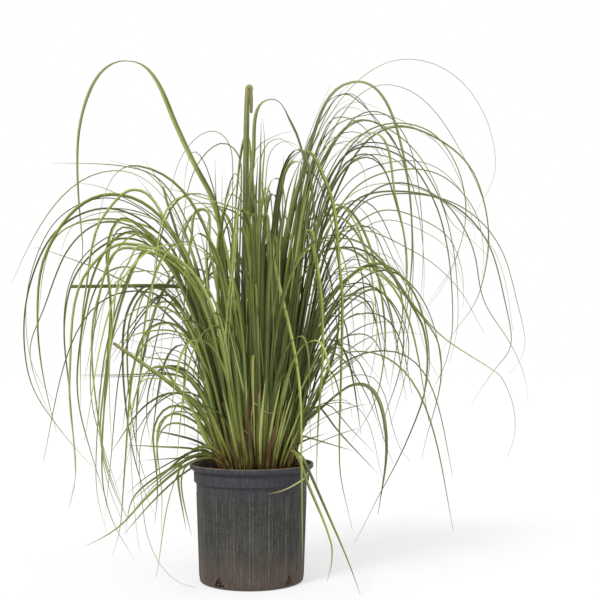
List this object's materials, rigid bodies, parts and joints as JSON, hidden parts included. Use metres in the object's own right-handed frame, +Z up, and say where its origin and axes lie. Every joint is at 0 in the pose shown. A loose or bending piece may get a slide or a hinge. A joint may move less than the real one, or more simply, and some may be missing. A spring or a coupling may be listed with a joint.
{
  "type": "potted pampas grass",
  "caption": "Clump of tall pampas grass in a black nursery pot, its long narrow leaves arching up and over on all sides.",
  "frame": {"origin": "centre of the underside of the pot, on the ground", "axes": "+Z up; -Y towards the viewer, the side the picture shows; +X to the viewer's right"},
  "size_m": [0.9912, 0.7908, 0.9988],
  "materials": {
    "pot_plastic": "dusty moulded black plastic, worn brown at the rim",
    "soil": "loose dark bark mix",
    "leaf_green": "satin, finely veined",
    "leaf_dark": "satin, finely veined",
    "leaf_pale": "satin, finely veined, drying to straw",
    "shoot_green": "satin, brown at the base"
  },
  "bodies": {
    "root": {"nursery_pot": "pot_plastic", "potting_soil": "soil", "leaf_01": "leaf_green", "leaf_02": "leaf_green", "leaf_03": "leaf_green", "leaf_04": "leaf_pale", "leaf_05": "leaf_pale", "leaf_06": "leaf_pale", "leaf_07": "leaf_pale", "leaf_08": "leaf_dark", "leaf_09": "leaf_dark", "leaf_10": "leaf_green", "leaf_11": "leaf_green", "leaf_12": "leaf_dark", "leaf_13": "leaf_dark", "leaf_14": "leaf_green", "leaf_15": "leaf_green", "leaf_16": "leaf_dark", "leaf_17": "leaf_pale", "leaf_18": "leaf_green", "leaf_19": "leaf_green", "leaf_20": "leaf_dark", "leaf_21": "leaf_green", "leaf_22": "leaf_green", "leaf_23": "leaf_dark", "leaf_24": "leaf_green", "leaf_25": "leaf_dark", "leaf_26": "leaf_green", "leaf_27": "leaf_dark", "leaf_28": "leaf_dark", "leaf_29": "leaf_dark", "leaf_30": "leaf_green", "leaf_31": "leaf_pale", "leaf_32": "leaf_green", "leaf_33": "leaf_dark", "leaf_34": "leaf_green", "leaf_35": "leaf_pale", "leaf_36": "leaf_green", "leaf_37": "leaf_green", "leaf_38": "leaf_dark", "leaf_39": "leaf_green", "leaf_40": "leaf_green", "leaf_41": "leaf_dark", "leaf_42": "leaf_green", "leaf_43": "leaf_green", "leaf_44": "leaf_pale", "leaf_45": "leaf_green", "shoot_01": "shoot_green", "shoot_02": "shoot_green", "shoot_03": "shoot_green", "shoot_04": "shoot_green", "shoot_05": "shoot_green", "shoot_06": "shoot_green", "shoot_07": "shoot_green", "shoot_08": "shoot_green", "shoot_09": "shoot_green", "shoot_10": "shoot_green", "shoot_11": "shoot_green", "shoot_12": "shoot_green", "shoot_13": "shoot_green"}
  },
  "joints": []
}
